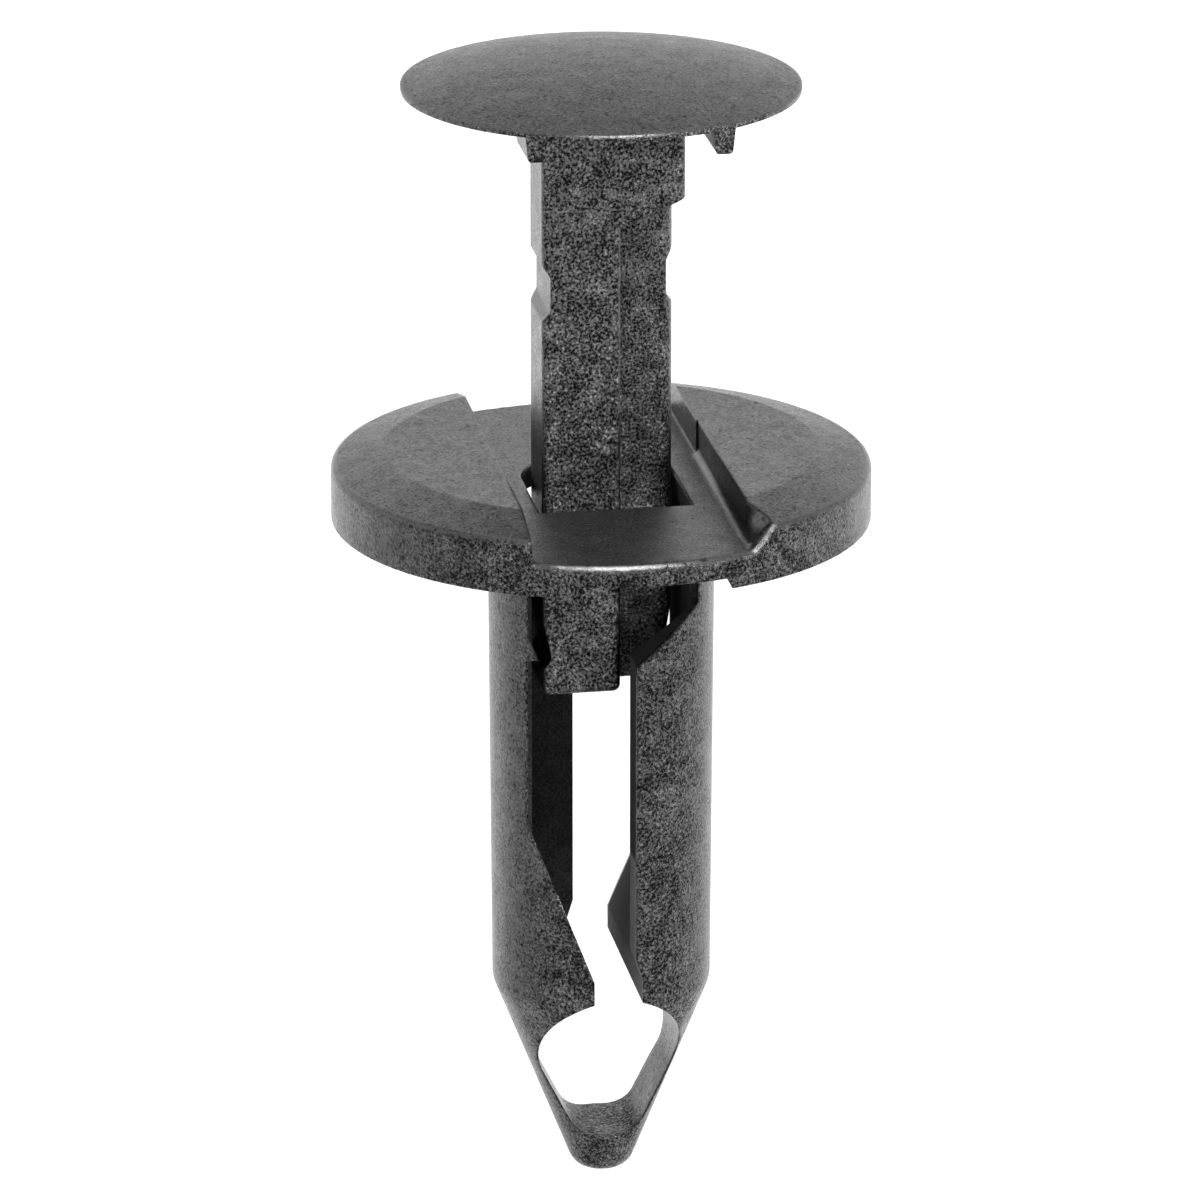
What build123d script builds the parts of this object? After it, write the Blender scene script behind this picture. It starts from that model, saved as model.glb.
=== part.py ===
from build123d import *
import math
import os

# Plastic push rivet: an expanding socket with two sprung legs and the push pin that spreads them.
# Millimetres. Z is the axis, towards the head, and Z = 0 is the flat underside of the flange, which
# seats on the panel. The front is at -Y. The legs and the pin are moulded with the same form on the
# front and, half a turn round, on the back, so only their front forms are drawn.

# Flange
flange_radius = 10.1
flange_rim_height = 2.05
flange_crown = 0.54  # rise of the flat seat for the head above the rim
flange_flat_radius = 8.1
flange_edge_radius = 0.28

# Hole through the floor of the pry channel, with three sharp corners and one wide one, at the back left
hole_clearance_x = 0.3  # beside the pin
hole_front_y = -3.5
hole_back_y = 2.8
hole_bend_radius = 2.0

# Pry channel across the top of the flange, with plain walls
channel_depth = 0.8  # below the rim
channel_half_width = 4.07

# Ramp in the front half of the right wall, which bends back near the rim
ramp_y = (2.6, -7.2, -8.4)  # the start of the ramp, and the start and end of the bend
ramp_foot_x = (4.15, 4.12, 4.04, 3.88)  # at those places and level with the foremost point of the rim
ramp_top_x = (4.13, 4.2, 5.3, 5.6)  # at the same places, at the height of the flat seat
ramp_foot_radius = 0.3

# Relief across the underside of the flange
relief_depth = 0.41
relief_half_width = 3.25  # at the underside
relief_roof_half_width = 3.1
relief_corner_radius = 0.12

# Shank and tip
shank_radius = 4.27  # under the flange
shank_foot_radius = 4.15  # at the shoulder
shank_length = 18.48  # from the flange to the shoulder
shoulder_radius = 1.5
tip_length = 7.89  # from the shoulder to the end
tip_radius = 1.02  # where the cone would end, without its rounding
tip_edge_radius = 0.85

# Window through the tip
window_radius = 2.7
window_drop = 2.29  # from the shoulder to the centre of its round top
window_half_angle = 27.0
window_foot_radius = 1.3
tip_wall = 1.77  # left under the window

# Passage for the pin, closed at the foot by a wedge on each leg
passage_half_x = 3.0
passage_half_y = 2.62
throat_half_width = 0.92  # from the middle to the end of each wedge
throat_length = 0.91
wedge_half_angle = 20.95

# Front slot: the edge of one leg on the left, and the flap of the other leg on the right
slot_half_width = 3.22
slot_reach_y = -2.2
flap_x = 0.66
flap_corner_drop = 4.77  # from the flange to the flap's upper corner
flap_rise = 1.95
flap_foot_rise = 0.84  # from the throat to where the flap draws back
catch_drop = 4.67  # from the flange to the catch's point
catch_length = 0.9
catch_height = 0.35

# Push pin
travel = 13.8
head_clearance = 0.05  # above the flange's flat seat, with the pin pushed in
pin_length = 22.76  # under the head
pin_clearance_x = 0.4
pin_clearance_y = 0.12
pin_step_y = 0.95  # how far each half of the section reaches past the middle in y
pin_fin_x = 0.34  # how far each half of the section reaches past the middle in x
pin_corner_radius = 0.7  # where the section steps back
pin_edge_radius = 0.25
pin_end_radius = 0.3
notch_depth = 0.3
# Heights about the catch's point where a notch starts, is deep, stops being deep and ends
lower_notch = (1.3, 0.0, -0.25, -0.6)
upper_notch = (1.29, 0.84, -0.48, -0.87)

# Head, its lugs and the collar under it
head_radius = 7.4
head_rim = 0.18
dome_height = 1.0
lug_height = 1.2
lug_x = (-3.3, 3.6)
lug_y = (-5.65, -3.05)  # from the front to the back of each front lug
lug_top_width = 0.85
lug_end_width = 0.6
lug_end_radius = 0.2
collar_overhang = 0.165  # past the side of the pin
collar_inner_length = 4.67
collar_front_length = 3.65
collar_back_length = 2.47
collar_front_radius = 0.35
collar_back_radius = 1.8  # clears the wide corner of the hole

# Places that follow from the sizes above
flange_top_z = flange_rim_height + flange_crown
floor_z = flange_rim_height - channel_depth
shoulder_z = -shank_length
tip_z = shoulder_z - tip_length
window_z = shoulder_z - window_drop
throat_end_z = window_z + math.sqrt(window_radius**2 - throat_half_width**2)
throat_z = throat_end_z + throat_length
wedge_slope = math.tan(math.radians(wedge_half_angle))
catch_z = -catch_drop
head_z = flange_top_z + head_clearance + travel
pin_end_z = head_z - pin_length
pin_half_x = passage_half_x - pin_clearance_x
pin_half_y = passage_half_y - pin_clearance_y
half_turn = Rot(0, 0, 180)
clear = flange_radius  # how far a cut runs past what it cuts


def xz_face(*points):
    """Face in the XZ plane with corners at (x, z) points."""
    return Plane.XZ * make_face(Polyline(*points, close=True))


def along_y(face, y_from, y_to):
    """Solid of an XZ face between two y values, the lower one first."""
    return Pos(0, y_from, 0) * extrude(face, amount=y_to - y_from, dir=(0, 1, 0))


def both_sides(shape):
    """A front form and its copy half a turn round."""
    return [shape, half_turn * shape]


def edges_where(shape, test):
    """Edges whose middle passes test(x, y, z)."""
    return shape.edges().filter_by(lambda edge: test(*tuple(edge @ 0.5)))


def flange_disc():
    return revolve(
        xz_face(
            (0, 0),
            (flange_radius, 0),
            (flange_radius, flange_rim_height),
            (flange_flat_radius, flange_top_z),
            (0, flange_top_z),
        ),
        Axis.Z,
    )


def ramp():
    """Right half of the channel, as far as the ramp reaches."""
    top_z = flange_top_z + channel_depth
    sections = []
    for y, foot_x, seat_x in zip((*ramp_y, -flange_radius), ramp_foot_x, ramp_top_x):
        lean = (seat_x - foot_x) / (flange_top_z - floor_z)
        outline = make_face(
            Polyline(
                (0, floor_z),
                (foot_x, floor_z),
                (foot_x + lean * (top_z - floor_z), top_z),
                (0, top_z),
                close=True,
            )
        )
        foot = outline.vertices().sort_by_distance((foot_x, floor_z, 0))[0]
        sections.append(Plane.XZ.offset(-y) * fillet(foot, ramp_foot_radius))
    return loft(sections, ruled=True)


def channel_strip(x_from, x_to, y_from):
    """Straight strip of the pry channel, from y_from out past the back."""
    face = xz_face((x_from, floor_z), (x_to, floor_z), (x_to, clear), (x_from, clear))
    return along_y(face, y_from, clear)


def channel():
    """Pry channel right across the flange: two straight strips and the ramp between them."""
    left = channel_strip(-channel_half_width, 0, -clear)
    right = channel_strip(0, channel_half_width, ramp_y[0])
    return [left, right, ramp()]


def relief():
    """Shallow channel across the underside of the flange, with sloping walls."""
    roof_x = relief_roof_half_width
    low_x = 2 * relief_half_width - roof_x
    outline = make_face(
        Polyline(
            (-low_x, -relief_depth),
            (-roof_x, relief_depth),
            (roof_x, relief_depth),
            (low_x, -relief_depth),
            close=True,
        )
    )
    outline = fillet(outline.vertices().group_by(Axis.Y)[-1], relief_corner_radius)
    return along_y(Plane.XZ * outline, -clear, clear)


def hole():
    """Opening in the floor of the pry channel."""
    half_x = pin_half_x + hole_clearance_x
    outline = make_face(
        Polyline(
            (-half_x, hole_front_y),
            (half_x, hole_front_y),
            (half_x, hole_back_y),
            (-half_x, hole_back_y),
            close=True,
        )
    )
    bend = outline.vertices().sort_by_distance((-half_x, hole_back_y, 0))[0]
    return extrude(fillet(bend, hole_bend_radius), amount=clear)


def shank():
    """Shank with a rounded shoulder and a conical tip."""
    top_z = (floor_z + relief_depth) / 2
    outline = make_face(
        Polyline(
            (0, top_z),
            (shank_radius, top_z),
            (shank_foot_radius, shoulder_z),
            (tip_radius, tip_z),
            (0, tip_z),
            close=True,
        )
    )
    for corner, radius in (
        ((shank_foot_radius, shoulder_z), shoulder_radius),
        ((tip_radius, tip_z), tip_edge_radius),
    ):
        nearest = outline.vertices().sort_by_distance((*corner, 0))[0]
        outline = fillet(nearest, radius)
    return revolve(Plane.XZ * outline, Axis.Z)


def passage():
    """Way for the pin, from the flange down to the window, with the faces of both wedges."""
    wedge_z = throat_z + (passage_half_x - throat_half_width) / wedge_slope
    face = xz_face(
        (-passage_half_x, floor_z),
        (-passage_half_x, wedge_z),
        (-throat_half_width, throat_z),
        (-throat_half_width, window_z),
        (throat_half_width, window_z),
        (throat_half_width, throat_z),
        (passage_half_x, wedge_z),
        (passage_half_x, floor_z),
    )
    return along_y(face, -passage_half_y, passage_half_y)


def front_slot():
    """Opening in the front wall: wide under the flange, beside the flap, and closing to the throat."""
    wedge_z = throat_z + (slot_half_width - throat_half_width) / wedge_slope
    flap_z = -flap_corner_drop
    face = xz_face(
        (-slot_half_width, relief_depth),
        (-slot_half_width, catch_z + catch_length),
        (-slot_half_width + catch_height, catch_z),
        (-slot_half_width, catch_z - catch_height / 4),
        (-slot_half_width, wedge_z),
        (-throat_half_width, throat_z),
        (-throat_half_width, window_z),
        (throat_half_width, window_z),
        (throat_half_width, throat_z),
        (flap_x, throat_z + flap_foot_rise),
        (flap_x, flap_z),
        (slot_half_width, flap_z + flap_rise),
        (slot_half_width, relief_depth),
    )
    return along_y(face, -clear, slot_reach_y)


def tip_window():
    """Opening through the tip: round at the top, with flanks that run in to a rounded foot."""
    lean = math.radians(window_half_angle)
    flank_x = window_radius * math.cos(lean)
    flank_z = window_z - window_radius * math.sin(lean)
    foot_z = tip_z + tip_wall
    foot_x = flank_x - (flank_z - foot_z) * math.tan(lean)
    corners = ((-flank_x, flank_z), (-foot_x, foot_z), (foot_x, foot_z), (flank_x, flank_z))
    foot = make_face(Polyline(*corners, close=True))
    foot = fillet(foot.vertices().group_by(Axis.Y)[0], window_foot_radius)
    outline = foot + Pos(0, window_z) * Circle(window_radius)
    return along_y(Plane.XZ * outline, -clear, clear)


def soften_rim(body):
    """Round the upper edge of the flange's rim, across the floor and ramp of the channel too."""

    def on_upper_rim(x, y, z):
        return abs(math.hypot(x, y) - flange_radius) < 0.01 and z > floor_z - 0.01

    rim = edges_where(body, on_upper_rim)
    upright = rim.filter_by(Axis.Z)
    return fillet([edge for edge in rim if edge not in upright], flange_edge_radius)


def expanding_socket():
    flange = flange_disc()
    for cut in channel():
        flange -= cut
    flange = soften_rim(flange) - relief()
    legs = shank()
    for cut in [passage(), tip_window()] + both_sides(front_slot()):
        legs -= cut
    return flange + legs - hole()


def pin_section():
    """Two overlapping blocks, each the other turned half round, with rounded outer corners."""
    middle = ((pin_fin_x - pin_half_x) / 2, (pin_step_y - pin_half_y) / 2)
    block = Pos(*middle) * Rectangle(pin_half_x + pin_fin_x, pin_half_y + pin_step_y)
    corner = block.vertices().sort_by_distance((-pin_half_x, pin_step_y, 0))[0]
    block = fillet(corner, pin_corner_radius)
    block = fillet(block.vertices().group_by(Axis.Y)[0], pin_edge_radius)
    return block + half_turn * block


def left_notch(heights, middle_z):
    """Cut in the left face of the pin, at heights about middle_z."""
    start_z, deep_z, shallow_z, end_z = [middle_z + height for height in heights]
    face = xz_face(
        (-pin_half_x, start_z),
        (-pin_half_x + notch_depth, deep_z),
        (-pin_half_x + notch_depth, shallow_z),
        (-pin_half_x, end_z),
        (-clear, end_z),
        (-clear, start_z),
    )
    return along_y(face, -clear, clear)


def front_collar(outer_length, corner_radius):
    """Block under the head that fills the open front corner of the section."""
    collar_x = pin_half_x + collar_overhang
    face = xz_face(
        (0, head_z),
        (0, head_z - collar_inner_length),
        (pin_fin_x, head_z - collar_inner_length),
        (collar_x, head_z - outer_length),
        (collar_x, head_z),
    )
    block = along_y(face, -pin_half_y, 0)
    corner = edges_where(block, lambda x, y, z: x > collar_x - 0.01 and y < 0.01 - pin_half_y)
    return fillet(corner, corner_radius)


def front_lug(x):
    """Short rib under the head that goes down into the pry channel."""
    half_top, half_end = lug_top_width / 2, lug_end_width / 2
    end_z = head_z - lug_height
    face = xz_face(
        (x + half_top, head_z),
        (x + half_end, end_z),
        (x - half_end, end_z),
        (x - half_top, head_z),
    )
    block = along_y(face, *lug_y)
    return fillet(block.edges().group_by(Axis.Z)[0], lug_end_radius)


def head():
    """Thin disc with a low dome."""
    rim_z = head_z + head_rim
    crown_z = rim_z + dome_height
    dome = TangentArc((0, crown_z), (head_radius, rim_z), tangent=(1, 0))
    base = Polyline((head_radius, rim_z), (head_radius, head_z), (0, head_z), (0, crown_z))
    return revolve(Plane.XZ * make_face([dome, base]), Axis.Z)


def push_pin():
    pin = extrude(Plane.XY.offset(pin_end_z) * pin_section(), amount=pin_length)
    pin = fillet(pin.edges().group_by(Axis.Z)[0], pin_end_radius)
    for heights, middle_z in ((lower_notch, catch_z), (upper_notch, catch_z + travel)):
        for cut in both_sides(left_notch(heights, middle_z)):
            pin -= cut
    pin += front_collar(collar_front_length, collar_front_radius)
    pin += half_turn * front_collar(collar_back_length, collar_back_radius)
    for x in lug_x:
        for lug in both_sides(front_lug(x)):
            pin += lug
    return pin + head()


os.makedirs("parts", exist_ok=True)
export_step(expanding_socket(), "parts/expanding_socket.step")
export_step(push_pin(), "parts/push_pin.step")
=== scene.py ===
import math

import bpy
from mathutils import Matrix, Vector


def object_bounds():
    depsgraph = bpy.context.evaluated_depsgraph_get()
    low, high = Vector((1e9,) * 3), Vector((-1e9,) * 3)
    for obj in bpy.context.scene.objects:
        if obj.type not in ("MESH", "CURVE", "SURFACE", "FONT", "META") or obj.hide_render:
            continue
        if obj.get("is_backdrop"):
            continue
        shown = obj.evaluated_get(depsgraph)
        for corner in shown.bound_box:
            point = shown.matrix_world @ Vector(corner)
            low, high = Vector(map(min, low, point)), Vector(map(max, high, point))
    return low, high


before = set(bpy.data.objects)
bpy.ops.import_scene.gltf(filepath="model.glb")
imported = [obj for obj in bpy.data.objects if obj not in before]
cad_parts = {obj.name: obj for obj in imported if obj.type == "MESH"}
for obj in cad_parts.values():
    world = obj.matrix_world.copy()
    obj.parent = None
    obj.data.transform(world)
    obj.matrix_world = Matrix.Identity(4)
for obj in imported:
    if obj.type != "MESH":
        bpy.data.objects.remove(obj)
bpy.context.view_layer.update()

# Lengths are in metres, angles in degrees and lamps in watts. A pair after a name is a range.

# Camera
view_azimuth = -9.5
view_elevation = 17.87
view_distance = 0.3
lens_mm = 240.84
sensor_mm = 36.0
clip_near = 0.01
rim_height = 0.00193  # near the top of the rim; the camera's distance is measured from the axis there
aim_drop = 0.00512  # how far below that point the picture is centred, along its own upright
aim_left = 0.00004

# Grain of the nylon: noise scales are in cells to the metre
nylon_ior = 1.53
edge_round = 0.0002  # how far from an edge the moulding looks rounded
blue_share = 1.02  # blue against red and green, for a slightly cold black
grain_scale = 9500
grain_detail = 4
grain_roughness = 0.7
cloud_scale = 1200
cloud_detail = 2
cloud_drift = (-0.05, 0.05)  # what the clouds add to the grain
pit_scale = 6000
pit_detail = 1
pit_shine = (0.3, 1)
relief_depth = 0.00005
even_grain = 0.5  # the grain of a face that has none

# Ranges of the rounded normal's upward part, which is 0 on a side and 1 on a top
edge_start = (0.25, 0.4)
edge_end = (0.88, 0.95)
top_grain = (0.6, 0.9)
top_gloss = (0.8, 0.95)

# Ranges of the grain
dark_grain = 0.46
speck_grain = (0.55, 0.61, 0.68)
dull_grain = (0.4, 0.56)
dullness = (0.5, 0.24)
shine_grain = (0.42, 0.62)
shine_level = (0.06, 1.0)

# Share that is left on some faces
grain_on_top = 0.35
grain_on_edge = 0.15
grain_on_flank = 0.3  # on faces that look sideways
dull_on_edge = 0.7
shine_on_tip = 0.8
shine_on_edge = 2.4

# Each piece: grey of its brightest specks, which partly paint glints on the grain, shine of its sides
# and of its tops
finishes = {
    "expanding_socket": {"glint_speck_grey": 0.16, "side_shine": 1.1, "top_shine": 3.0, "hollow": True},
    "push_pin": {"glint_speck_grey": 0.3, "side_shine": 1.6, "top_shine": 2.2, "hollow": False},
}

# Hollow of the socket, whose walls get a painted shade, from the rivet's axis and the panel's face
bore_radius = 0.00405
bore_top = 0.0011
wedge_top = -0.0125  # the wedges' inner faces, which keep a lighter matt grey inside the painted-shade hollow, are below this
bore_foot = -0.0184
mouth_radius = 0.0049
mouth_top = 0.0012
mouth_foot = 0.0001
mask_blur = 0.0002
tip_blur = 0.0004
# Near-black matt greys that paint the shade on the walls of the socket's hole and hollow shank
painted_shade_greys = (0.03, 0.08)
wedge_greys = (0.12, 0.3)

# Floor
floor_gap = 0.024  # under the held rivet's tip
floor_size = 6.0
floor_grey = 0.8
floor_near_and_far = (0.003, 0.1)  # squares of the distance from the axis
floor_lift = (0.35, 1)  # what the camera sees added, near and far
floor_front_and_back = (-0.02, 0.06)
floor_mirrored = (0.4, 1.0)  # what reflections see added, in front and behind

# Room, by the direction a ray takes; a strength of 1 is white
room_front_and_back = (-0.45, 0.15)
room_strength = (0.6, 1.0)
wall_heights = (0.3, 0.8)
wall_fading = (1, 0.6)
ceiling_heights = (0.55, 0.75)
ceiling_strength = 0.4
ceiling_ends = (-0.1, 0.2)
room_light = 0.3  # on matt surfaces

# Square lamps, turned towards the panel's middle: place, width and watts
lamps = {
    "key": ((0.08, -0.42, 0.68), 0.35, 6.5),
    "left": ((-0.45, -0.6, 0.25), 0.08, 0.5),
    "right": ((0.6, -0.4, 0.2), 0.12, 1.2),
}


def shader(name):
    """New material, with its empty node tree and its output."""
    material = bpy.data.materials.new(name)
    material.use_nodes = True
    tree = material.node_tree
    tree.nodes.clear()
    output = tree.nodes.new("ShaderNodeOutputMaterial")
    return material, tree, output


def noise(tree, coordinates, scale, detail, roughness=0.5):
    node = tree.nodes.new("ShaderNodeTexNoise")
    node.inputs["Scale"].default_value = scale
    node.inputs["Detail"].default_value = detail
    node.inputs["Roughness"].default_value = roughness
    tree.links.new(coordinates, node.inputs["Vector"])
    return node.outputs["Fac"]


def remap(tree, value, old, new):
    """Value carried from the range old to the range new, and held inside it."""
    node = tree.nodes.new("ShaderNodeMapRange")
    for socket, number in zip(("From Min", "From Max", "To Min", "To Max"), (*old, *new)):
        node.inputs[socket].default_value = number
    tree.links.new(value, node.inputs["Value"])
    return node.outputs["Result"]


def share_where(tree, mask, share):
    """One where the mask is zero, and the share where it is one."""
    return remap(tree, mask, (0, 1), (1, share))


def ramp(tree, value, stops):
    """Near-grey that follows value through the stops, each a place and a brightness."""
    node = tree.nodes.new("ShaderNodeValToRGB")
    elements = node.color_ramp.elements
    for index, (place, grey) in enumerate(stops):
        element = elements[index] if index < len(elements) else elements.new(place)
        element.position = place
        element.color = (grey, grey, grey * blue_share, 1)
    tree.links.new(value, node.inputs["Fac"])
    return node.outputs["Color"]


def combine(tree, operation, first, second):
    node = tree.nodes.new("ShaderNodeMath")
    node.operation = operation
    tree.links.new(first, node.inputs[0])
    tree.links.new(second, node.inputs[1])
    return node.outputs["Value"]


def times(tree, first, second):
    return combine(tree, "MULTIPLY", first, second)


def distance_squared(tree, position):
    """Square of the distance from the upright axis."""
    across = times(tree, position["X"], position["X"])
    along = times(tree, position["Y"], position["Y"])
    return combine(tree, "ADD", across, along)


def blend(tree, share, first, second):
    """Number between the constant first and the value second, by share."""
    node = tree.nodes.new("ShaderNodeMix")
    tree.links.new(share, node.inputs["Factor"])
    node.inputs["A"].default_value = first
    tree.links.new(second, node.inputs["B"])
    return node.outputs["Result"]


def inside(tree, radius_square, height, radius, foot, top):
    """One within the radius and between the two heights, zero outside."""
    near = remap(tree, radius_square, (radius ** 2 * 0.97, radius ** 2), (1, 0))
    below = remap(tree, height, (top - mask_blur, top), (1, 0))
    above = remap(tree, height, (foot, foot + mask_blur), (0, 1))
    return times(tree, near, times(tree, below, above))


def painted_hollow_masks(tree, position, normal):
    """Masks of the socket's hole and hollow shank, whose walls get a painted shade, and of the
    wedges' inner faces, which keep a lighter matt grey.
    """
    radius_square = distance_squared(tree, position)
    height = position["Z"]
    mouth = inside(tree, radius_square, height, mouth_radius, mouth_foot, mouth_top)
    shank = inside(tree, radius_square, height, bore_radius, bore_foot, bore_top)
    wedges = inside(tree, radius_square, height, bore_radius, bore_foot, wedge_top)
    inward = remap(tree, times(tree, normal["Y"], normal["Y"]), (0.1, 0.3), (1, 0))
    return combine(tree, "MAXIMUM", shank, mouth), times(tree, wedges, inward)


def parts_of(tree, vector):
    """The vector's three outputs, by letter."""
    split = tree.nodes.new("ShaderNodeSeparateXYZ")
    tree.links.new(vector, split.inputs["Vector"])
    return split.outputs


def matt(tree, grain, greys):
    """Matt grey that follows the grain."""
    darkest, lightest = greys
    node = tree.nodes.new("ShaderNodeBsdfDiffuse")
    tree.links.new(ramp(tree, grain, ((0.4, darkest), (0.6, lightest))), node.inputs["Color"])
    return node.outputs["BSDF"]


def overlay(tree, under, over, share):
    node = tree.nodes.new("ShaderNodeMixShader")
    tree.links.new(share, node.inputs["Fac"])
    tree.links.new(under, node.inputs[1])
    tree.links.new(over, node.inputs[2])
    return node.outputs["Shader"]


def face_masks(tree, position, normal):
    """Masks of the socket's tip, of rounded edges and sloping faces, and of coarse grain."""
    upward = normal["Z"]
    tip = remap(tree, position["Z"], (bore_foot - tip_blur, bore_foot), (1, 0))
    rising = remap(tree, upward, edge_start, (0, 1))
    falling = remap(tree, upward, edge_end, (1, 0))
    edge = times(tree, times(tree, rising, falling), share_where(tree, tip, 0))
    side = remap(tree, upward, top_grain, (1, grain_on_top))
    smooth = times(tree, side, share_where(tree, edge, grain_on_edge))
    sideways = times(tree, normal["X"], normal["X"])
    flank = remap(tree, sideways, (0.25, 0.75), (1, grain_on_flank))
    coarse = times(tree, combine(tree, "MAXIMUM", smooth, tip), flank)
    return tip, edge, coarse


def black_nylon(name, glint_speck_grey, side_shine, top_shine, hollow):
    """Black moulded nylon: spark-eroded sides, finer upper faces and polished round edges; lighter
    specks partly paint glints, and a hollow gets painted shade.
    """
    material, tree, output = shader(name)
    nylon = tree.nodes.new("ShaderNodeBsdfPrincipled")
    nylon.inputs["IOR"].default_value = nylon_ior
    place = tree.nodes.new("ShaderNodeTexCoord").outputs["Object"]
    rounded = tree.nodes.new("ShaderNodeBevel")
    rounded.inputs["Radius"].default_value = edge_round
    normal = parts_of(tree, rounded.outputs["Normal"])
    position = parts_of(tree, place)
    tip, edge, coarse = face_masks(tree, position, normal)

    fine = noise(tree, place, grain_scale, grain_detail, grain_roughness)
    cloud = noise(tree, place, cloud_scale, cloud_detail)
    mottle = combine(tree, "ADD", fine, remap(tree, cloud, (0.3, 0.7), cloud_drift))
    grain = blend(tree, coarse, even_grain, mottle)
    # Base grey: near black, with random lighter specks that partly paint the glints of the eroded
    # grain
    greys = (0.008, glint_speck_grey * 0.35, glint_speck_grey)
    specks = ((dark_grain, 0.001), *zip(speck_grain, greys))
    tree.links.new(ramp(tree, grain, specks), nylon.inputs["Base Color"])

    dull = remap(tree, grain, dull_grain, dullness)
    roughness = times(tree, dull, share_where(tree, edge, dull_on_edge))
    tree.links.new(roughness, nylon.inputs["Roughness"])

    pits = remap(tree, noise(tree, place, pit_scale, pit_detail), (0.3, 0.42), pit_shine)
    shine = remap(tree, grain, shine_grain, shine_level)
    finish = remap(tree, normal["Z"], top_gloss, (side_shine, top_shine))
    tip_polish = share_where(tree, tip, shine_on_tip)
    polish = times(tree, tip_polish, share_where(tree, edge, shine_on_edge))
    worn = times(tree, pits, times(tree, finish, polish))
    tree.links.new(times(tree, shine, worn), nylon.inputs["Specular IOR Level"])

    relief = tree.nodes.new("ShaderNodeBump")
    relief.inputs["Distance"].default_value = relief_depth
    tree.links.new(coarse, relief.inputs["Strength"])
    tree.links.new(mottle, relief.inputs["Height"])
    tree.links.new(rounded.outputs["Normal"], relief.inputs["Normal"])
    tree.links.new(relief.outputs["Normal"], nylon.inputs["Normal"])

    surface = nylon.outputs["BSDF"]
    # Painted shade: a near-black matt grey over the walls of the socket's hole and hollow shank
    if hollow:
        painted_shade, lighter_wedges = painted_hollow_masks(tree, position, normal)
        surface = overlay(tree, surface, matt(tree, grain, painted_shade_greys), painted_shade)
        # The wedges' inner faces get a lighter matt grey over the painted shade
        surface = overlay(tree, surface, matt(tree, grain, wedge_greys), lighter_wedges)
    tree.links.new(surface, output.inputs["Surface"])
    return material


def pale_floor():
    """Pale matt floor, lifted towards white: far off for the camera, and behind for reflections."""
    material, tree, output = shader("pale_floor")
    card = tree.nodes.new("ShaderNodeBsdfDiffuse")
    card.inputs["Color"].default_value = (floor_grey, floor_grey, floor_grey, 1)
    lift = tree.nodes.new("ShaderNodeEmission")
    lift.inputs["Color"].default_value = (1, 1, 1, 1)
    path = tree.nodes.new("ShaderNodeLightPath")
    position = parts_of(tree, tree.nodes.new("ShaderNodeTexCoord").outputs["Object"])
    even = remap(tree, distance_squared(tree, position), floor_near_and_far, floor_lift)
    direct = times(tree, path.outputs["Is Camera Ray"], even)
    behind = remap(tree, position["Y"], floor_front_and_back, floor_mirrored)
    mirrored = times(tree, path.outputs["Is Glossy Ray"], behind)
    tree.links.new(combine(tree, "ADD", direct, mirrored), lift.inputs["Strength"])
    both = tree.nodes.new("ShaderNodeAddShader")
    tree.links.new(card.outputs["BSDF"], both.inputs[0])
    tree.links.new(lift.outputs["Emission"], both.inputs[1])
    tree.links.new(both.outputs["Shader"], output.inputs["Surface"])
    return material


def floor():
    """Broad sheet of pale card under the rivet."""
    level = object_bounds()[0].z - floor_gap
    half = floor_size / 2
    corners = [(x * half, y * half, level) for x, y in ((-1, -1), (1, -1), (1, 1), (-1, 1))]
    mesh = bpy.data.meshes.new("floor")
    mesh.from_pydata(corners, [], [(0, 1, 2, 3)])
    plane = bpy.data.objects.new("floor", mesh)
    bpy.context.scene.collection.objects.link(plane)
    plane.data.materials.append(pale_floor())
    plane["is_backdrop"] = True


def facing(direction):
    """Turn that makes a lamp or a camera look along the direction."""
    return direction.to_track_quat("-Z", "Y").to_euler()


def soft_light(name, place, width, watts):
    lamp = bpy.data.lights.new(name, "AREA")
    lamp.size = width
    lamp.energy = watts
    placed = bpy.data.objects.new(name, lamp)
    placed.location = place
    placed.rotation_euler = facing(-Vector(place))
    bpy.context.scene.collection.objects.link(placed)


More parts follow.
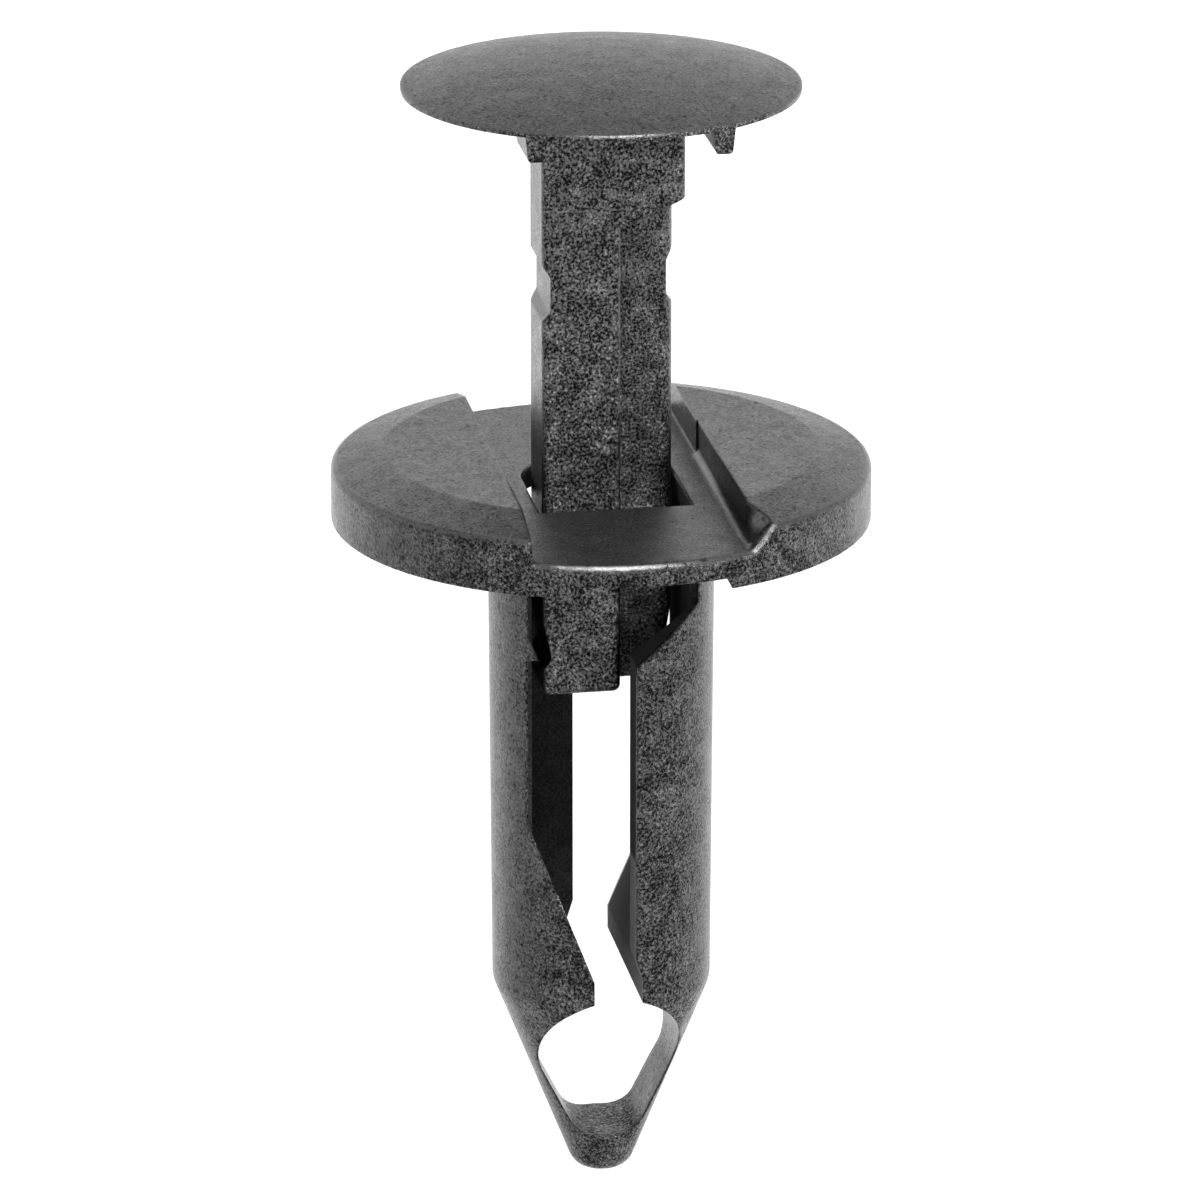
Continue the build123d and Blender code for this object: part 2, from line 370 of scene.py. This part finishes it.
def studio():
    """Room that is white to the camera, and to reflections white behind and dimmer in front."""
    world = bpy.data.worlds.new("studio")
    world.use_nodes = True
    tree = world.node_tree
    background = tree.nodes["Background"]
    background.inputs["Color"].default_value = (1, 1, 1, 1)
    direction = parts_of(tree, tree.nodes.new("ShaderNodeTexCoord").outputs["Generated"])
    across = remap(tree, direction["Y"], room_front_and_back, room_strength)
    wall = times(tree, across, remap(tree, direction["Z"], wall_heights, wall_fading))
    ceiling = remap(tree, direction["Z"], ceiling_heights, (0, ceiling_strength))
    front = remap(tree, direction["Y"], ceiling_ends, (1, 0))
    room = combine(tree, "ADD", wall, times(tree, ceiling, front))
    path = tree.nodes.new("ShaderNodeLightPath")
    mirrored = blend(tree, path.outputs["Is Glossy Ray"], room_light, room)
    seen = tree.nodes.new("ShaderNodeMix")
    tree.links.new(path.outputs["Is Camera Ray"], seen.inputs["Factor"])
    tree.links.new(mirrored, seen.inputs["A"])
    seen.inputs["B"].default_value = 1.0
    tree.links.new(seen.outputs["Result"], background.inputs["Strength"])
    bpy.context.scene.world = world
    for name, (place, width, watts) in lamps.items():
        soft_light(name, place, width, watts)


def camera():
    azimuth, elevation = math.radians(view_azimuth), math.radians(view_elevation)
    towards = Vector((
        math.sin(azimuth) * math.cos(elevation),
        -math.cos(azimuth) * math.cos(elevation),
        math.sin(elevation),
    ))
    right = Vector((math.cos(azimuth), math.sin(azimuth), 0))
    upright = towards.cross(right)
    rim_middle = Vector((0, 0, rim_height))
    place = rim_middle + towards * view_distance
    aim = rim_middle - upright * aim_drop - right * aim_left
    lens = bpy.data.cameras.new("camera")
    lens.lens = lens_mm
    lens.sensor_width = sensor_mm
    lens.clip_start = clip_near
    placed = bpy.data.objects.new("camera", lens)
    placed.location = place
    placed.rotation_euler = facing(aim - place)
    bpy.context.scene.collection.objects.link(placed)
    bpy.context.scene.camera = placed


for name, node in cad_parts.items():
    node.data.materials.clear()
    node.data.materials.append(black_nylon(name + "_nylon", **finishes[name]))

floor()
studio()
camera()
bpy.context.scene.view_settings.view_transform = "Standard"
